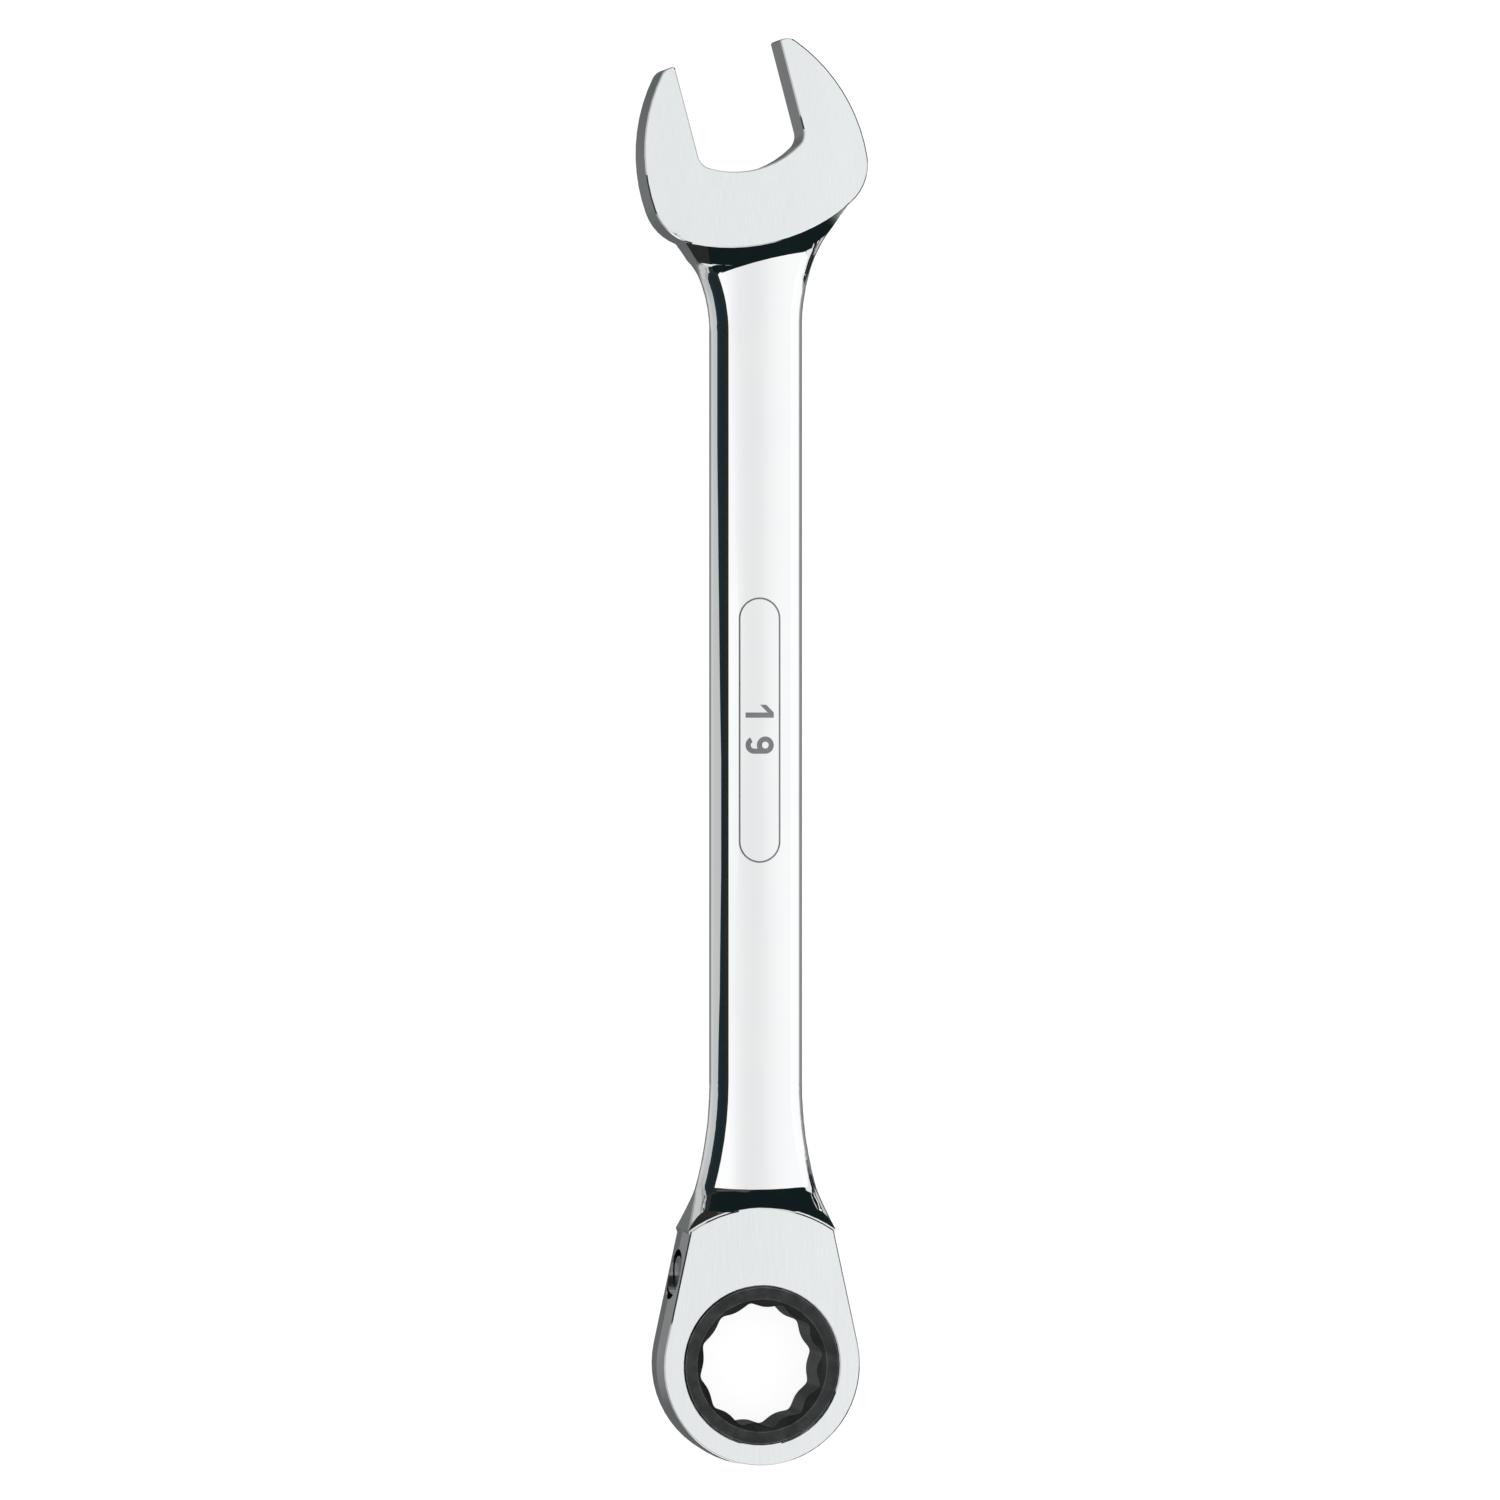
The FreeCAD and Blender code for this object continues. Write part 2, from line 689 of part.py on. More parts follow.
def pawl_bore(body):
    """The blind bore of the pawl, drilled across the head from its left side."""
    back = FreeCAD.Placement(FreeCAD.Vector(0, 0, -FREE), FreeCAD.Rotation())
    sketch = new_sketch(body, "PawlBoreCircle", "YZ_Plane", back)
    radius = size("pawl_bore_radius")
    index = sketch.addGeometry(
        Part.Circle(point(size("pawl_bore_y"), 0), FreeCAD.Vector(0, 0, 1), radius), False)
    constrain(sketch, "Radius", index, radius, bind="Sizes.pawl_bore_radius")
    constrain(sketch, "DistanceX", -1, 1, index, 3, size("pawl_bore_y"), bind="Sizes.pawl_bore_y")
    constrain(sketch, "PointOnObject", index, 3, -1)
    pocket(body, "PawlBore", sketch, f"{FREE} + Sizes.pawl_bore_end", Reversed=True)


def mark_sketches(body):
    """The size mark: a thin rounded frame on the shank with the digits 1 and 9 inside it."""
    lift = size("shank_thickness") / 2 - size("mark_depth")
    centre = FreeCAD.Vector(0, size("mark_y"), lift)
    quarter_turn = FreeCAD.Rotation(FreeCAD.Vector(0, 0, 1), -90)
    axes = FreeCAD.Placement(centre, quarter_turn)
    border = new_sketch(body, "MarkFrame", "XY_Plane", axes)
    line = size("mark_line")
    for inset in (0.0, line):
        draw_closed(border, stadium(size("mark_length") / 2 - inset, size("mark_width") / 2 - inset))
    digits = new_sketch(body, "MarkDigits", "XY_Plane", axes)
    half_step = size("digit_spacing") / 2
    draw_closed(digits, digit_one(-half_step))
    draw_closed(digits, digit_nine(half_step))
    bowl_y = (size("digit_height") - size("digit_width")) / 2
    bowl_radius = size("digit_width") / 2 - size("digit_stroke")
    bowl = Part.Circle(point(half_step, bowl_y), FreeCAD.Vector(0, 0, 1), bowl_radius)
    digits.addGeometry(bowl, False)
    return border, digits


def stadium(half_length, half_width):
    """A closed outline along the sketch's x axis with straight long sides and round ends."""
    head = point(half_length - half_width, 0)
    tail = point(half_width - half_length, 0)
    side = point(0, half_width)
    return [
        arc(head, half_width, -math.pi / 2, math.pi / 2),
        segment(head + side, tail + side),
        arc(tail, half_width, math.pi / 2, math.pi * 3 / 2),
        segment(tail - side, head - side),
    ]


def digit_one(x):
    """The digit 1: an upright stroke with a slanted flag."""
    stroke = size("digit_stroke")
    top = size("digit_height") / 2
    flag = size("digit_width") * 0.45
    corners = [
        point(x - stroke / 2, -top),
        point(x + stroke / 2, -top),
        point(x + stroke / 2, top),
        point(x - stroke / 2, top),
        point(x - stroke / 2 - flag, top - flag),
        point(x - stroke / 2 - flag, top - flag - stroke * 1.2),
        point(x - stroke / 2, top - stroke * 1.2),
    ]
    return polygon(corners)


def digit_nine(x):
    """The digit 9 as one outline: a bowl with a tail that drops from its right side and curls back."""
    stroke = size("digit_stroke")
    outer = size("digit_width") / 2
    inner = outer - stroke
    bowl = point(x, size("digit_height") / 2 - outer)
    hook = point(x, outer - size("digit_height") / 2)
    curl = math.pi * 1.15
    meeting = -math.acos(inner / outer)
    return [
        arc(bowl, outer, 0.0, 2 * math.pi + meeting),
        segment(bowl + polar(outer, meeting), hook + polar(inner, 0.0)),
        arc(hook, inner, curl, 2 * math.pi),
        segment(hook + polar(inner, curl), hook + polar(outer, curl)),
        arc(hook, outer, curl, 2 * math.pi),
        segment(hook + polar(outer, 0.0), bowl + polar(outer, 0.0)),
    ]


def wrench_body():
    """The one-piece forging with its machined openings."""
    body = bar_body()
    body.Label = "wrench_body"
    combined(body, "WithHeads", "Fuse", [ring_head_body(), open_head_body()])
    gear_chamber(body)
    pawl_bore(body)
    for sketch in mark_sketches(body):
        pocket(body, f"{sketch.Name}Cut", sketch, "Sizes.shank_thickness", Reversed=True)
    return body


# ---------------------------------------------------------------- ratchet gear

def revolved(body, name, corners, walls):
    """A body of revolution about Z from a closed outline; walls binds edges' radii to the sheet."""
    sketch = new_sketch(body, f"{name}Profile", "XZ_Plane")
    first = draw_closed(sketch, polygon(corners))
    for corner, radius in walls.items():
        constrain(sketch, "DistanceX", -1, 1, first + corner, 1, size(radius), bind=f"Sizes.{radius}")
    feature = body.newObject("PartDesign::Revolution", name)
    feature.Profile = sketch
    feature.ReferenceAxis = (sketch, ["V_Axis"])
    feature.Angle = 360.0
    doc.recompute()
    return feature


def hexagon(body, name, turn):
    """A regular hexagon on XY inside its corner circle, turned by an angle in radians."""
    corner_radius = size("socket_flats") / 2 / math.cos(math.pi / 6)
    corners = [polar(corner_radius, turn + math.pi / 3 * i) for i in range(6)]
    sketch = new_sketch(body, name, "XY_Plane")
    draw_closed(sketch, polygon(corners))
    return sketch


def ratchet_gear():
    """The gear ring: a flange with outer teeth, a collar on each side and a twelve-point socket."""
    body = new_body("ratchet_gear")
    bore = size("socket_flats") / 2 * 0.9
    collar = size("gear_collar_radius")
    tip = size("gear_tip_radius")
    end = size("gear_half_length")
    top = size("gear_flange_top")
    bottom = size("gear_flange_bottom")
    corners = [
        point(bore, -end),
        point(collar, -end),
        point(collar, bottom),
        point(tip, bottom),
        point(tip, top),
        point(collar, top),
        point(collar, end),
        point(bore, end),
    ]
    revolved(body, "GearBlank", corners, {
        1: "gear_collar_radius", 3: "gear_tip_radius", 4: "gear_tip_radius", 6: "gear_collar_radius"})
    for name, turn in (("SocketHexagonA", math.radians(10)), ("SocketHexagonB", math.radians(40))):
        pocket(body, f"{name}Cut", hexagon(body, name, turn), "Sizes.ring_thickness * 4", Midplane=True)
    for name, radius, half_corner in (
        ("SocketCrests", "Sizes.socket_crest_radius", math.pi / 12),
        ("SocketCorners", "Sizes.socket_corner_radius", math.pi / 6),
    ):
        round_edges(body, name, radius, upright_at(size("socket_flats") / 2 / math.cos(half_corner)))
    lead_ins(body)
    gear_teeth(body)
    return body


def upright_at(radius):
    """Accept the edges parallel to the drive axis at a distance from it."""
    def wanted(edge):
        centre = edge.CenterOfMass
        upright = edge.BoundBox.ZLength > size("gear_half_length")
        return upright and abs(math.hypot(centre.x, centre.y) - radius) < 0.05
    return wanted


def lead_ins(body):
    """The conical lead-ins of the socket: deep at the marked face, shallow at the back."""
    sketch = new_sketch(body, "LeadInProfile", "XZ_Plane")
    end = size("gear_half_length")
    wide = size("lead_in_radius")
    narrow = size("socket_flats") / 2
    for side, depth in ((1, size("lead_in_depth")), (-1, size("back_lead_in_depth"))):
        corners = [
            point(narrow * 0.8, side * (end - depth)),
            point(narrow, side * (end - depth)),
            point(wide, side * end),
            point(narrow * 0.8, side * end),
        ]
        draw_closed(sketch, polygon(corners))
    groove(body, "LeadIns", sketch, "V_Axis")


def gear_teeth(body):
    """One V-shaped gap cut through the flange, repeated around the axis."""
    count = int(size("gear_tooth_count"))
    root = size("gear_root_radius")
    tip = size("gear_tip_radius")
    past = tip + 0.3
    half_gap = math.pi * tip / count - size("gear_crest") / 2
    half_past = half_gap * (past - root) / (tip - root)
    sketch = new_sketch(body, "ToothGap", "XY_Plane")
    corners = [point(0, root), point(half_past, past), point(-half_past, past)]
    draw_closed(sketch, polygon(corners))
    cut = pocket(body, "ToothGapCut", sketch, "Sizes.ring_thickness * 4", Midplane=True)
    pattern = body.newObject("PartDesign::PolarPattern", "ToothGaps")
    pattern.Originals = [cut]
    pattern.Axis = (sketch, ["N_Axis"])
    pattern.Angle = 360.0
    pattern.setExpression("Occurrences", "Sizes.gear_tooth_count")
    body.Tip = pattern
    doc.recompute()


# ---------------------------------------------------------------- pawl, spring and retaining ring

def pawl():
    """The pawl: a round slug, thinned at its back and flat below, with teeth for the gear's gaps."""
    body = new_body("pawl")
    left = size("pawl_left")
    centre_y = size("pawl_bore_y")
    radius = size("pawl_radius")
    axes = FreeCAD.Placement(FreeCAD.Vector(0, 0, left), FreeCAD.Rotation())
    sketch = new_sketch(body, "PawlSection", "YZ_Plane", axes)
    relief = size("pawl_relief")
    waist_y = centre_y - relief / 2
    half_angle = math.acos(relief / 2 / radius)
    first = draw_closed(sketch, [
        arc(point(centre_y, 0), radius, math.pi - half_angle, math.pi + half_angle),
        arc(point(centre_y - relief, 0), radius, -half_angle, half_angle),
    ])
    constrain(sketch, "Radius", first, radius, bind="Sizes.pawl_radius")
    constrain(sketch, "Radius", first + 1, radius, bind="Sizes.pawl_radius")
    constrain(sketch, "PointOnObject", first, 3, -1)
    constrain(sketch, "PointOnObject", first + 1, 3, -1)
    constrain(sketch, "DistanceX", -1, 1, first, 3, centre_y, bind="Sizes.pawl_bore_y")
    constrain(sketch, "DistanceX", -1, 1, first + 1, 3, centre_y - relief,
              bind="Sizes.pawl_bore_y - Sizes.pawl_relief")
    pad(body, "PawlSlug", sketch, "Sizes.pawl_right - Sizes.pawl_left")
    flat = new_sketch(body, "PawlFlat", "YZ_Plane")
    bottom = size("pawl_bottom")
    sides = (centre_y - radius * 2, centre_y + radius * 2)
    corners = [
        point(sides[0], bottom),
        point(sides[1], bottom),
        point(sides[1], -FREE),
        point(sides[0], -FREE),
    ]
    draw_closed(flat, polygon(corners))
    pocket(body, "PawlFlatCut", flat, "Sizes.ring_radius * 4", Midplane=True)
    teeth = new_sketch(body, "PawlTeeth", "XY_Plane")
    draw_closed(teeth, pawl_tooth_outline())
    pocket(body, "PawlTeethCut", teeth, "Sizes.ring_thickness * 4", Midplane=True)
    return body


def pawl_tooth_outline():
    """What the gear and its clearance take from the pawl: a disc, notched where the teeth engage."""
    pitch = 2 * math.pi / size("gear_tooth_count")
    clearance = size("mesh_clearance")
    top = size("gear_root_radius") + clearance
    bottom = size("gear_tip_radius") + clearance
    clear = size("gear_tip_radius") + size("gear_clearance")
    count = int(size("pawl_tooth_count"))
    half_tooth = pitch / 2 * 0.8
    last = (count - 1) / 2 * pitch + pitch / 2
    corners = [polar(clear, math.pi / 2 - last), polar(bottom, math.pi / 2 - last)]
    for tooth in range(count):
        angle = math.pi / 2 + (tooth - (count - 1) / 2) * pitch
        corners.append(polar(bottom, angle - half_tooth))
        corners.append(polar(top, angle))
        corners.append(polar(bottom, angle + half_tooth))
    corners += [polar(bottom, math.pi / 2 + last), polar(clear, math.pi / 2 + last)]
    notches = [segment(corners[i], corners[i + 1]) for i in range(len(corners) - 1)]
    return notches + [arc(point(0, 0), clear, math.pi / 2 + last, math.pi * 5 / 2 - last)]


def pawl_spring():
    """The coil spring in the closed end of the pawl's bore, with room for the pawl's travel."""
    helix = doc.addObject("Part::Helix", "SpringPath")
    wire = size("spring_wire")
    start = size("pawl_right") + size("spring_travel") + wire / 2
    room = "Sizes.pawl_bore_end - Sizes.pawl_right - Sizes.spring_travel - Sizes.spring_gap"
    helix.setExpression("Height", f"{room} - Sizes.spring_wire")
    helix.setExpression("Pitch", "Height / Sizes.spring_turns")
    helix.setExpression("Radius", "Sizes.spring_radius")
    circle = doc.addObject("Part::Circle", "SpringWire")
    circle.setExpression("Radius", "Sizes.spring_wire / 2")
    circle.Placement = FreeCAD.Placement(
        FreeCAD.Vector(size("spring_radius"), 0, 0), FreeCAD.Rotation(FreeCAD.Vector(1, 0, 0), 90))
    sweep = doc.addObject("Part::Sweep", "PawlSpring")
    sweep.Sections = [circle]
    sweep.Spine = (helix, ["Edge1"])
    sweep.Solid = True
    sweep.Frenet = True
    sweep.Label = "pawl_spring"
    along_x = FreeCAD.Rotation(FreeCAD.Vector(0, 1, 0), 90)
    sweep.Placement = FreeCAD.Placement(FreeCAD.Vector(start, size("pawl_bore_y"), 0), along_x)
    return sweep


def retaining_ring():
    """The open ring that snaps into the groove at the back and holds the gear in."""
    body = new_body("retaining_ring")
    inner = size("clip_inner_radius")
    outer = size("clip_outer_radius")
    top = size("clip_top")
    bottom = size("clip_bottom")
    corners = [point(inner, bottom), point(outer, bottom), point(outer, top), point(inner, top)]
    revolved(body, "ClipRing", corners, {0: "clip_inner_radius", 1: "clip_outer_radius"})
    sketch = new_sketch(body, "ClipOpening", "XY_Plane")
    half = size("clip_opening") / 2
    corners = [point(-half, -outer * 2), point(half, -outer * 2), point(half, 0), point(-half, 0)]
    draw_closed(sketch, polygon(corners))
    pocket(body, "ClipOpeningCut", sketch, "Sizes.ring_thickness * 4", Midplane=True)
    return body


# ---------------------------------------------------------------- build, check and write

def check(parts):
    """Every object recomputed cleanly, and every sub-part is one valid solid."""
    for item in doc.Objects:
        if "Invalid" in item.State or "Error" in item.State:
            raise RuntimeError(f"{item.Name} failed to recompute")
    for part in parts:
        shape = part.Shape
        if shape.isNull() or not shape.isValid() or len(shape.Solids) != 1:
            raise RuntimeError(f"{part.Label} is not one valid solid")
        print(part.Label, round(shape.Volume, 1), "mm3")


parts = [wrench_body(), ratchet_gear(), pawl(), pawl_spring(), retaining_ring()]
doc.recompute()
check(parts)
os.makedirs("parts", exist_ok=True)
for part in parts:
    part.Shape.exportStep(f"parts/{part.Label}.step")
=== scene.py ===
import math

import bpy
from mathutils import Matrix, Vector


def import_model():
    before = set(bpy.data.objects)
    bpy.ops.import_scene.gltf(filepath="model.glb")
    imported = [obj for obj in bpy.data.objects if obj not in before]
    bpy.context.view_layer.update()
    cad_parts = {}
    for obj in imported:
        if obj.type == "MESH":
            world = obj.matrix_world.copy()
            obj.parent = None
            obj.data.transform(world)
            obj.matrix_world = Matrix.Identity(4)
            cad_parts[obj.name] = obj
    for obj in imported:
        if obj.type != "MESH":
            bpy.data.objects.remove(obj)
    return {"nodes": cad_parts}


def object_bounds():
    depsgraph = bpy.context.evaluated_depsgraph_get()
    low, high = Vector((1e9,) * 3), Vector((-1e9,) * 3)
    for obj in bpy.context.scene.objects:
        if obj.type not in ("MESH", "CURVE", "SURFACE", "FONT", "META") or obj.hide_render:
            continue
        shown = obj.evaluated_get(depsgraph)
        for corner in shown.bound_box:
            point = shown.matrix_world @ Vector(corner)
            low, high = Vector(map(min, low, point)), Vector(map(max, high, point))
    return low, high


# Looks of the ratcheting combination wrench.  The frame is the CAD model's: +Z comes out of the
# marked face, +Y runs from the box end to the open end, and the drive axis is at the origin.
# Lengths are in metres, unless a comment says otherwise.

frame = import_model()
cad_low, cad_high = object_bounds()
nodes = frame["nodes"]

MM = 0.001
WHITE = (1, 1, 1, 1)

# Measures of the wrench that its looks follow.
SHANK_FACE = 3.25 * MM              # height of the shank's crowned faces on their centre line
SHANK_CROWN = 120 * MM              # radius of those faces
SHANK_LEFT_EDGE = -6.7 * MM         # the middle of the shank's rounded left edge
HEAD_LEVEL = 3.75 * MM              # level faces higher than this belong to the heads
MARK_LOW = 86 * MM                  # the size mark lies between these two heights along the shank
MARK_HIGH = 134 * MM
MARK_REACH = 4.2 * MM               # and within this distance of its centre line

# The camera.
VIEW_TILT = math.radians(12.4)      # it leans to the left of the marked face
CAMERA_DISTANCE = 1.45
VIEW_HEIGHT = 0.2605                # what the square view takes in at the wrench
VIEW_LEFT = -1.0 * MM               # the view's centre is left of the shank's centre line
VIEW_RISE = 0.35 * MM               # and above the middle of the wrench's length
SENSOR = 36.0                       # sensor width in millimetres


# ---------------------------------------------------------------- node helpers

class Graph:
    """A material's or world's node tree, with short calls for the nodes that are used most."""

    def __init__(self, owner):
        owner.use_nodes = True
        self.tree = owner.node_tree
        self.tree.nodes.clear()

    def add(self, kind, **settings):
        node = self.tree.nodes.new(kind)
        for name, value in settings.items():
            setattr(node, name, value)
        return node

    def feed(self, socket, value):
        """Link an output to a socket, or set the socket's own value."""
        if isinstance(value, bpy.types.NodeSocket):
            self.tree.links.new(value, socket)
        else:
            socket.default_value = value

    def math(self, operation, *values):
        node = self.add("ShaderNodeMath", operation=operation)
        for socket, value in zip(node.inputs, values):
            self.feed(socket, value)
        return node.outputs[0]

    def product(self, first, *others):
        for other in others:
            first = self.math("MULTIPLY", first, other)
        return first

    def rest_of(self, share):
        """What a share leaves of 1."""
        return self.math("SUBTRACT", 1.0, share)

    def map_range(self, interpolation, **values):
        node = self.add("ShaderNodeMapRange", interpolation_type=interpolation)
        for name, value in values.items():
            self.feed(node.inputs[name.replace("_", " ")], value)
        return node.outputs[0]

    def ramp(self, value, low, high, to_low=0.0, to_high=1.0):
        """A smooth step of value from to_low at low to to_high at high."""
        return self.map_range(
            "SMOOTHSTEP", Value=value, From_Min=low, From_Max=high, To_Min=to_low, To_Max=to_high,
        )

    def ramp_linear(self, value, low, high):
        """0 at low, 1 at high, straight in between."""
        return self.map_range("LINEAR", Value=value, From_Min=low, From_Max=high)

    def between(self, value, low, high, soft):
        """1 where value is between low and high, 0 outside, with soft borders."""
        rise = self.ramp(value, low - soft, low + soft)
        fall = self.ramp(value, high - soft, high + soft, 1.0, 0.0)
        return self.product(rise, fall)

    def mix(self, share, first, second):
        """A colour between two colours."""
        node = self.add("ShaderNodeMix", data_type="RGBA")
        self.feed(node.inputs[0], share)
        self.feed(node.inputs[6], first)
        self.feed(node.inputs[7], second)
        return node.outputs[2]

    def mottled(self, noise, to_low, to_high):
        """A number that follows the middle of a noise's range."""
        return self.ramp(noise, 0.3, 0.7, to_low, to_high)

    def mottled_colour(self, noise, first, second):
        """A colour that follows the middle of a noise's range."""
        return self.mix(self.mottled(noise, 0.0, 1.0), first, second)

    def position(self):
        """The object-space position, in metres."""
        return self.add("ShaderNodeTexCoord").outputs["Object"]

    def split(self, vector):
        """The x, y and z outputs of a vector."""
        node = self.add("ShaderNodeSeparateXYZ")
        self.feed(node.inputs[0], vector)
        return node.outputs

    def stretched(self, vector, x, y, z):
        """A position scaled along each axis: less than 1 draws a pattern out along that axis."""
        node = self.add("ShaderNodeMapping")
        node.inputs["Scale"].default_value = (x, y, z)
        self.feed(node.inputs["Vector"], vector)
        return node.outputs[0]

    def noise(self, vector, scale, detail, roughness=0.5):
        node = self.add("ShaderNodeTexNoise")
        self.feed(node.inputs["Vector"], vector)
        node.inputs["Scale"].default_value = scale
        node.inputs["Detail"].default_value = detail
        node.inputs["Roughness"].default_value = roughness
        return node.outputs["Fac"]

    def bump(self, height, strength, distance, normal=None):
        node = self.add("ShaderNodeBump")
        node.inputs["Strength"].default_value = strength
        node.inputs["Distance"].default_value = distance
        self.feed(node.inputs["Height"], height)
        if normal is not None:
            self.feed(node.inputs["Normal"], normal)
        return node.outputs[0]

    def worn_edges(self, radius):
        """Near 1 on sharp outer edges and near 0 on open surfaces."""
        bevel = self.add("ShaderNodeBevel", samples=6)
        bevel.inputs["Radius"].default_value = radius
        facing = self.add("ShaderNodeVectorMath", operation="DOT_PRODUCT")
        self.feed(facing.inputs[0], bevel.outputs[0])
        self.feed(facing.inputs[1], self.add("ShaderNodeNewGeometry").outputs["Normal"])
        return self.ramp(facing.outputs["Value"], 0.995, 0.9)

    def surface(self, **values):
        """The principled shader with the given sockets, joined to the material's output."""
        shader = self.add("ShaderNodeBsdfPrincipled")
        for name, value in values.items():
            self.feed(shader.inputs[name.replace("_", " ")], value)
        output = self.add("ShaderNodeOutputMaterial")
        self.feed(output.inputs["Surface"], shader.outputs[0])


def new_material(name):
    material = bpy.data.materials.new(name)
    return material, Graph(material)


def grey(value):
    return (value, value, value, 1.0)


# ---------------------------------------------------------------- materials

def head_faces(graph, z):
    """1 on the level faces of both heads, 0 elsewhere."""
    facing = graph.split(graph.add("ShaderNodeNewGeometry").outputs["True Normal"])[2]
    # The cosines of 2.6 and 1.1 degrees.
    level = graph.ramp(graph.math("ABSOLUTE", facing), 0.9990, 0.9998)
    border = 0.05 * MM
    high = graph.ramp(graph.math("ABSOLUTE", z), HEAD_LEVEL - border, HEAD_LEVEL + border)
    return graph.product(level, high)


def mark_floor(graph, x, y, z):
    """1 on the etched floor of the size mark, which is lower than the crowned face around it."""
    drop = graph.product(x, x, 1 / (2 * SHANK_CROWN))
    depth = graph.math("SUBTRACT", graph.math("SUBTRACT", SHANK_FACE, drop), z)
    deep_enough = graph.ramp(depth, 0.05 * MM, 0.10 * MM)
    not_too_deep = graph.ramp(depth, 0.5 * MM, 0.3 * MM)
    along = graph.between(y, MARK_LOW, MARK_HIGH, 0.2 * MM)
    across = graph.between(x, -MARK_REACH, MARK_REACH, 0.1 * MM)
    marked_side = graph.ramp(z, 2.0 * MM, 2.2 * MM)
    return graph.product(along, across, deep_enough, not_too_deep, marked_side)


def chrome():
    """Mirror chrome, with linished faces on both heads and matt etching in the size mark."""
    material, graph = new_material("chrome_plate")
    place = graph.position()
    x, y, z = graph.split(place)
    head = head_faces(graph, z)
    mirror = graph.rest_of(head)
    etched = mark_floor(graph, x, y, z)

    # Soft haze and handling smears on the mirror, brushing on the heads, fine hairlines.
    haze = graph.noise(place, 90.0, 4.0)
    smear = graph.noise(graph.stretched(place, 1.0, 0.25, 1.0), 260.0, 6.0, 0.65)
    brushed = graph.noise(graph.stretched(place, 1.0, 0.03, 1.0), 9000.0, 3.0, 0.6)
    hairline = graph.noise(graph.stretched(place, 0.02, 1.0, 1.0), 5200.0, 2.0, 0.6)

    hazy = graph.ramp(haze, 0.35, 0.75, 0.018, 0.05)
    smeared = graph.ramp(smear, 0.55, 0.8, 0.0, 0.035)
    mirror_rough = graph.product(graph.math("ADD", hazy, smeared), mirror)
    head_rough = graph.product(graph.mottled(brushed, 0.05, 0.10), head)
    rough = graph.math("ADD", mirror_rough, head_rough)
    rough = graph.math("ADD", rough, graph.product(etched, 0.45))

    mirror_tint = graph.mottled_colour(haze, (0.865, 0.875, 0.885, 1), (0.885, 0.89, 0.892, 1))
    head_tint = graph.mottled_colour(brushed, (0.825, 0.845, 0.858, 1), (0.865, 0.878, 0.888, 1))
    tint = graph.mix(head, mirror_tint, head_tint)
    tint = graph.mix(etched, tint, (0.42, 0.43, 0.45, 1))

    waves = graph.noise(graph.stretched(place, 1.0, 0.35, 1.0), 110.0, 1.0)
    waviness = graph.bump(waves, 0.5, 0.06 * MM)
    lines = graph.bump(graph.product(hairline, mirror), 0.03, 0.01 * MM, waviness)
    grain = graph.bump(graph.product(brushed, head), 0.10, 0.01 * MM, lines)
    graph.surface(Base_Color=tint, Metallic=1.0, Roughness=rough, Normal=grain)
    return material


def black_oxide():
    """Black-oxide steel of the gear: mottled, satin, rubbed bright along its edges."""
    material, graph = new_material("black_oxide_steel")
    place = graph.position()
    mottle = graph.noise(place, 420.0, 5.0, 0.6)
    pits = graph.noise(place, 2600.0, 3.0, 0.7)
    worn = graph.product(graph.worn_edges(0.22 * MM), graph.ramp(mottle, 0.3, 0.6, 0.35, 1.0))
    colour = graph.mottled_colour(mottle, (0.040, 0.043, 0.044, 1), (0.066, 0.070, 0.070, 1))
    colour = graph.mix(worn, colour, (0.28, 0.285, 0.29, 1))
    rough = graph.math("ADD", graph.mottled(pits, 0.30, 0.44), graph.product(worn, -0.1))
    relief = graph.bump(pits, 0.25, 0.02 * MM)
    graph.surface(Base_Color=colour, Metallic=0.9, Roughness=rough, Normal=relief)
    return material


def plain_steel(name, dark, light, rubbed, smooth, coarse, scale):
    """Machined steel: mottled from dark to light grey and from smooth to coarse, with rubbed edges."""
    material, graph = new_material(name)
    place = graph.position()
    mottle = graph.noise(place, scale, 4.0, 0.6)
    marks = graph.noise(graph.stretched(place, 0.05, 1.0, 1.0), scale * 12, 3.0, 0.6)
    worn = graph.product(graph.worn_edges(0.15 * MM), 0.7)
    colour = graph.mottled_colour(mottle, grey(dark), grey(light))
    colour = graph.mix(worn, colour, grey(rubbed))
    rough = graph.mottled(marks, smooth, coarse)
    relief = graph.bump(marks, 0.15, 0.01 * MM)
    graph.surface(Base_Color=colour, Metallic=1.0, Roughness=rough, Normal=relief)
    return material


def pawl_steel():
    """Ground steel of middle grey."""
    return plain_steel(
        "pawl_steel", dark=0.20, light=0.30, rubbed=0.45, smooth=0.25, coarse=0.40, scale=600.0,
    )


def spring_wire():
    """Bright drawn wire."""
    return plain_steel(
        "spring_wire", dark=0.35, light=0.45, rubbed=0.50, smooth=0.20, coarse=0.35, scale=900.0,
    )


def phosphated_steel():
    """Dark, nearly matt steel."""
    return plain_steel(
        "phosphated_steel", dark=0.07, light=0.11, rubbed=0.30, smooth=0.35, coarse=0.50, scale=700.0,
    )


def finish_with(node, material):
    """Give a CAD node one material all over."""
    slots = nodes[node].data.materials
    slots.clear()
    slots.append(material)


finish_with("wrench_body", chrome())
finish_with("ratchet_gear", black_oxide())
finish_with("pawl", pawl_steel())
finish_with("pawl_spring", spring_wire())
finish_with("retaining_ring", phosphated_steel())


# ---------------------------------------------------------------- stage

def sheet(name, corners, faces, material):
    """A thin object of the studio, with one material."""
    mesh = bpy.data.meshes.new(name)
    mesh.from_pydata(corners, [], faces)
    mesh.materials.append(material)
    made = bpy.data.objects.new(name, mesh)
    bpy.context.scene.collection.objects.link(made)
    return made


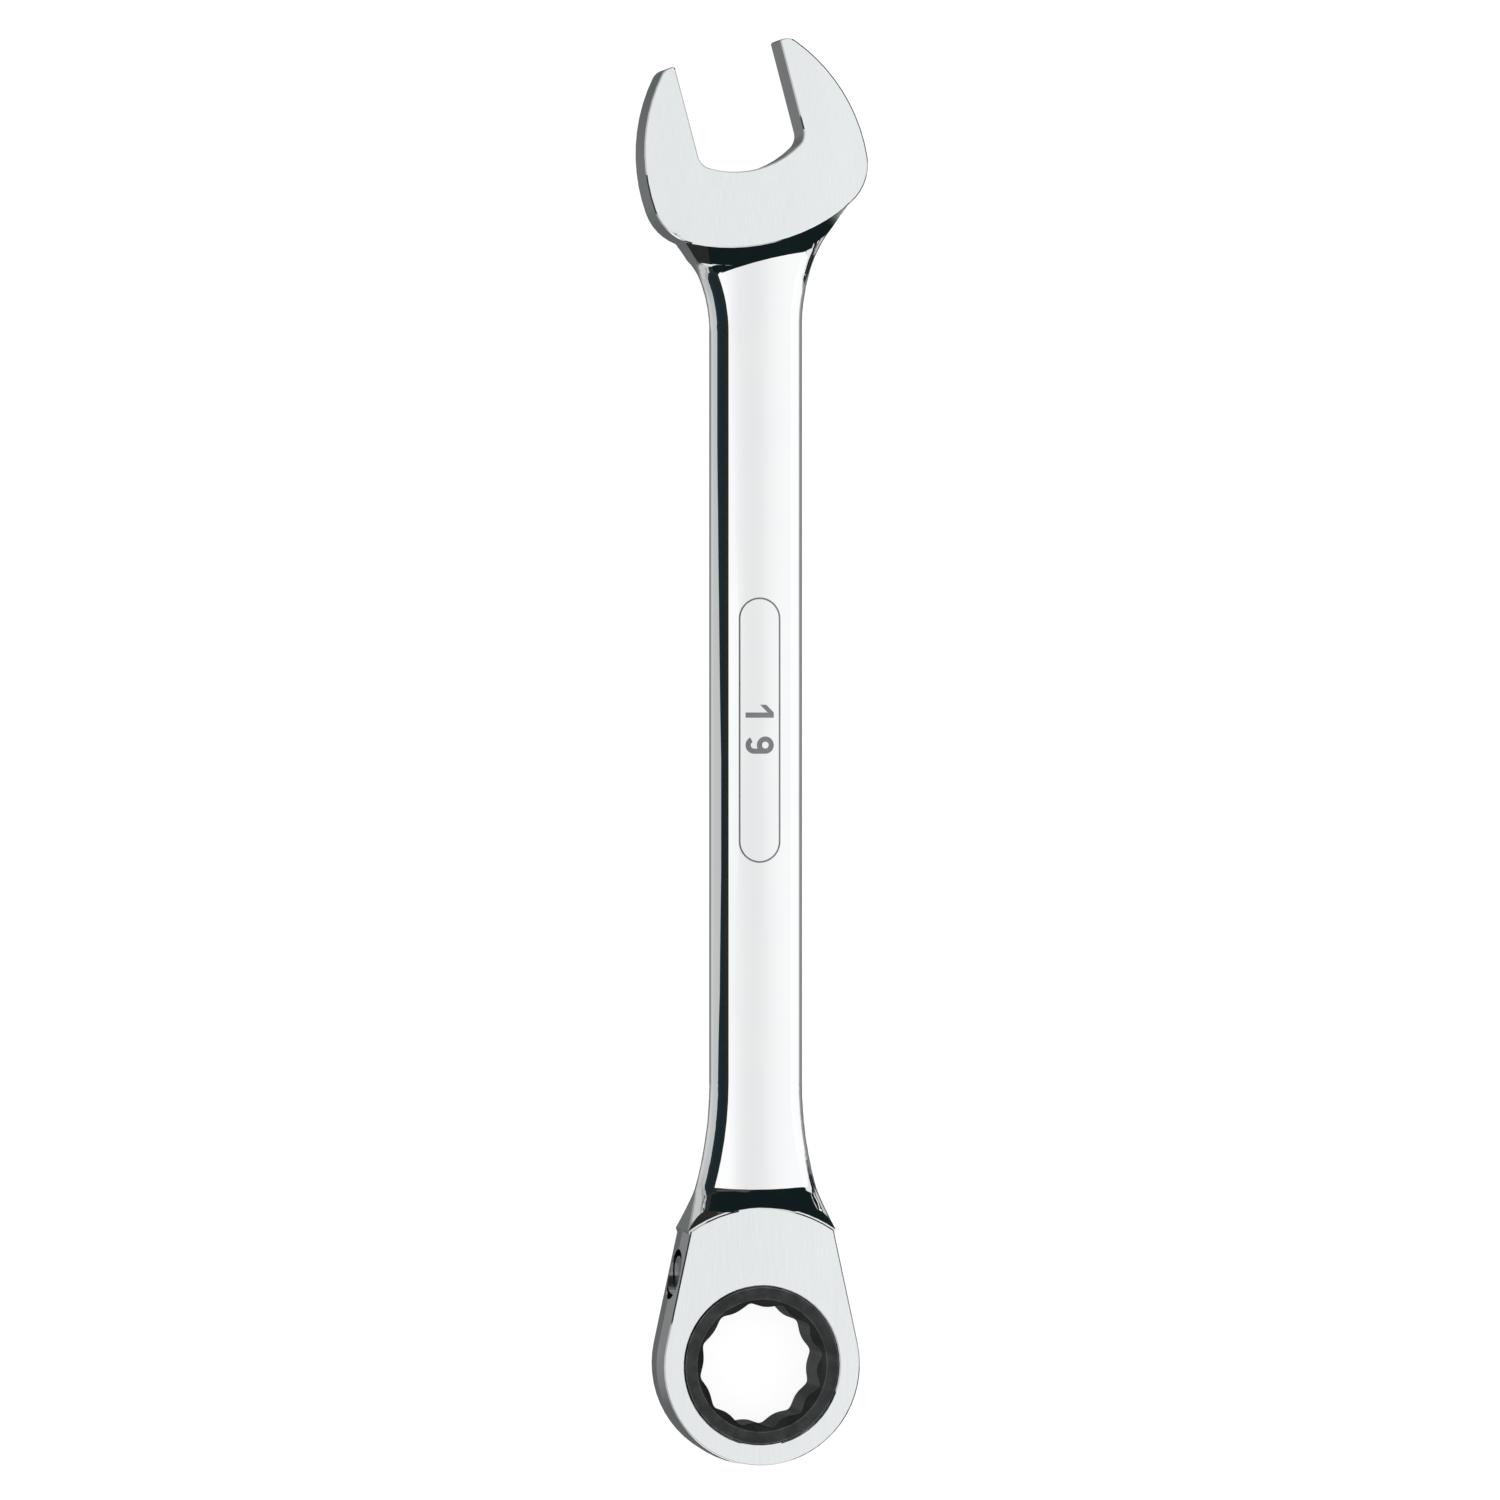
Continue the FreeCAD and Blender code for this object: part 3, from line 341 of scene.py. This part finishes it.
def floor_paper():
    """Pale paper that glows a little, so that it is nearly white in every view."""
    material, graph = new_material("floor_paper")
    graph.surface(Base_Color=grey(0.26), Roughness=0.9, Emission_Color=WHITE, Emission_Strength=0.87)
    return material


def floor():
    """A pale floor just under the wrench, large enough for every view, which the chrome doesn't show."""
    half = 4.0
    z = cad_low.z - 0.02 * MM
    corners = [(-half, -half, z), (half, -half, z), (half, half, z), (-half, half, z)]
    plane = sheet("floor", corners, [(0, 1, 2, 3)], floor_paper())
    plane.visible_glossy = False


# Brightness of the studio in the plane across the shank, by the angle from the vertical in
# degrees: negative to the left, positive to the right, 180 straight down.
STUDIO = (
    # The left, from below up to the grey wall.
    (-180, 0.10), (-170, 0.14), (-163, 0.22), (-157, 0.32), (-140, 0.70), (-124, 0.64), (-112, 0.60),
    (-60, 0.58), (-45, 0.55), (-20, 0.62), (0, 0.85),
    # The softbox overhead, with a dimmer band, and down to the right.
    (5.8, 1.10), (6.8, 1.15), (8.5, 0.98), (10, 0.91), (12, 0.885), (13.5, 0.95), (15, 1.02),
    (18.6, 1.08), (30, 1.12), (88, 1.08),
    # The right, under the softbox.
    (95, 0.80), (99, 0.34), (107, 0.38), (124, 0.22), (150, 0.12), (168, 0.10), (180, 0.10),
)
# What is left of the light in the dark parts of the studio.
BLUE_SHADE = (0.007, 0.018, 0.024, 1)
BROWN_SHADE = (0.020, 0.020, 0.017, 1)
DEEP_SHADE = (0.0065, 0.013, 0.014, 1)
BENCH = (0.085, 0.080, 0.068, 1)


def around_shank(graph, turn):
    """The brightness that STUDIO gives for an angle round the shank, in radians."""
    around = graph.add("ShaderNodeValToRGB")
    graph.feed(around.inputs[0], graph.ramp_linear(turn, -math.pi, math.pi))
    stops = around.color_ramp.elements
    while len(stops) < len(STUDIO):
        stops.new(0.5)
    for stop, (angle, brightness) in zip(stops, STUDIO):
        stop.position = (angle + 180) / 360
        stop.color = grey(brightness)
    return around.outputs[0]


def across_share(graph, turn, y):
    """1 near the plane across the shank, where STUDIO counts, and 0 towards the ends of the room.

    The grey wall on the left fades slowly towards its ends; the softbox stops close to the ends of
    the wrench.
    """
    low_left = math.radians(-60)
    high_left = math.radians(-30)
    high_right = math.radians(35)
    low_right = math.radians(65)
    near = graph.ramp(turn, high_right, low_right, 0.14, 0.08)
    left_far = graph.ramp(turn, low_left, high_left, 0.60, 0.19)
    right_far = graph.ramp(turn, high_right, low_right, 0.60, 0.12)
    far = graph.math("MINIMUM", left_far, right_far)
    return graph.ramp(graph.math("ABSOLUTE", y), near, far, 1.0, 0.0)


def room(graph, x, y, z):
    """Brightness outside the plane across the shank: pale walls, a pale floor and dark hangings."""
    walls = graph.product(graph.ramp(x, -0.35, 0.0, 0.45, 0.90), graph.ramp(z, -0.1, 0.1))
    ends = graph.ramp(graph.math("ABSOLUTE", y), 0.2, 0.4, 0.0, 0.6)
    ground = graph.product(graph.between(z, -0.75, 0.0, 0.1), ends)
    light = graph.math("MAXIMUM", walls, ground)
    # A dark hanging from overhead down to each end of the room, and a low one along the right.
    hanging = graph.product(graph.between(x, 0.05, 0.60, 0.03), graph.ramp(z, 0.20, 0.26))
    skirting = graph.product(graph.ramp(x, 0.45, 0.5), graph.between(z, -0.3, 0.2, 0.02))
    dark = graph.math("MAXIMUM", hanging, skirting)
    return graph.product(light, graph.rest_of(dark))


def horizon(graph, x, z):
    """A band that rises to the left: grey on the left, bright at both ends, dark on the right."""
    slope = 0.22
    height = 0.047
    half_width = 0.045
    above = graph.math("MULTIPLY_ADD", x, slope, graph.math("SUBTRACT", z, height))
    band = graph.between(above, -half_width, half_width, 0.015)
    brightness = graph.ramp(x, -0.7, -0.4, 0.4, 1.1)
    return graph.product(band, brightness, graph.ramp(x, 0.72, 0.88, 1.0, 0.08))


def world():
    """The studio: what the chrome reflects depends on the direction only, and other light is white."""
    scene_world = bpy.data.worlds.new("studio")
    bpy.context.scene.world = scene_world
    graph = Graph(scene_world)
    x, y, z = graph.split(graph.add("ShaderNodeTexCoord").outputs["Generated"])
    turn = graph.math("ARCTAN2", x, z)
    across = across_share(graph, turn, y)
    lights = graph.product(around_shank(graph, turn), across)
    elsewhere = graph.product(room(graph, x, y, z), graph.rest_of(across))
    ground = graph.ramp(z, -0.5, -0.8, 0.0, 0.12)
    low = graph.math("MAXIMUM", horizon(graph, x, z), ground)
    light = graph.math("MAXIMUM", graph.math("ADD", lights, elsewhere), low)
    bench = graph.product(graph.between(x, 0.10, 0.18, 0.01), graph.between(y, 0.20, 0.40, 0.03))
    colour = graph.add("ShaderNodeVectorMath", operation="ADD")
    graph.feed(colour.inputs[0], light)
    graph.feed(colour.inputs[1], graph.mix(bench, DEEP_SHADE, BENCH))
    reflected = graph.add("ShaderNodeLightPath").outputs["Is Glossy Ray"]
    background = graph.add("ShaderNodeBackground")
    graph.feed(background.inputs["Color"], graph.mix(reflected, WHITE, colour.outputs[0]))
    output = graph.add("ShaderNodeOutputWorld")
    graph.feed(output.inputs["Surface"], background.outputs[0])


# A black card hangs low over the left edge of the shank. Only reflections show it, and its faint
# blue-black and brown-black glow is painted shade in the chrome's reflection.  Each row is a height
# along the wrench and the card's right border there, both in mm, and the angle from the vertical, in
# degrees, at which the edge sees the card's left border: it is narrow in the middle of the shank and
# wide at both ends.
CARD_HEIGHT = 20 * MM
CARD_ROWS = (
    (20, -10.0, -80), (30, -6.0, -80), (46, -3.6, -74), (63, -3.4, -60),
    (85, -3.4, -49), (105, -3.4, -49), (133, -3.4, -66), (150, -3.4, -74),
    (164, -3.4, -80), (180, -3.4, -80), (190, -6.0, -80), (197, -11.0, -80),
)


def reflected_shade_glow():
    """Painted shade for the chrome to reflect: a faint glow, blue-black on the left and
    brown-black on the right, equally bright from everywhere.
    """
    material, graph = new_material("reflected_shade_card")
    x = graph.split(graph.position())[0]
    shade = graph.mix(graph.ramp(x, -16 * MM, -10 * MM), BLUE_SHADE, BROWN_SHADE)
    # The emission paints the dim tint of the dark studio into the chrome's reflection.
    graph.surface(Base_Color=grey(0.0), Roughness=1.0, Emission_Color=shade, Emission_Strength=1.0)
    return material


def reflected_shade_card():
    """The card over the shank's left edge, which only reflections show: a painted dark reflection on the
    chrome.
    """
    z = SHANK_FACE + CARD_HEIGHT
    corners = []
    for y, right, angle in CARD_ROWS:
        left = SHANK_LEFT_EDGE + CARD_HEIGHT * math.tan(math.radians(angle))
        corners.append((right * MM, y * MM, z))
        corners.append((left, y * MM, z))
    faces = [(i, i + 1, i + 3, i + 2) for i in range(0, len(corners) - 2, 2)]
    card = sheet("reflected_shade_card", corners, faces, reflected_shade_glow())
    card.visible_camera = False
    card.visible_diffuse = False
    card.visible_shadow = False


def camera():
    """A long lens over the marked face, leaning to its left, with the open end at the top."""
    data = bpy.data.cameras.new("camera")
    data.sensor_width = SENSOR
    data.lens = SENSOR * CAMERA_DISTANCE / VIEW_HEIGHT
    data.clip_start = 0.05
    data.clip_end = 20.0
    made = bpy.data.objects.new("camera", data)
    bpy.context.scene.collection.objects.link(made)
    toward_camera = Vector((-math.sin(VIEW_TILT), 0, math.cos(VIEW_TILT)))
    up = Vector((0, 1, 0))
    right = up.cross(toward_camera)
    target = Vector((VIEW_LEFT, (cad_low.y + cad_high.y) / 2 + VIEW_RISE, 0))
    place = target + toward_camera * CAMERA_DISTANCE
    made.matrix_world = Matrix((
        (right.x, up.x, toward_camera.x, place.x),
        (right.y, up.y, toward_camera.y, place.y),
        (right.z, up.z, toward_camera.z, place.z),
        (0, 0, 0, 1),
    ))
    bpy.context.scene.camera = made


floor()
world()
reflected_shade_card()
camera()
bpy.context.scene.view_settings.view_transform = "Standard"
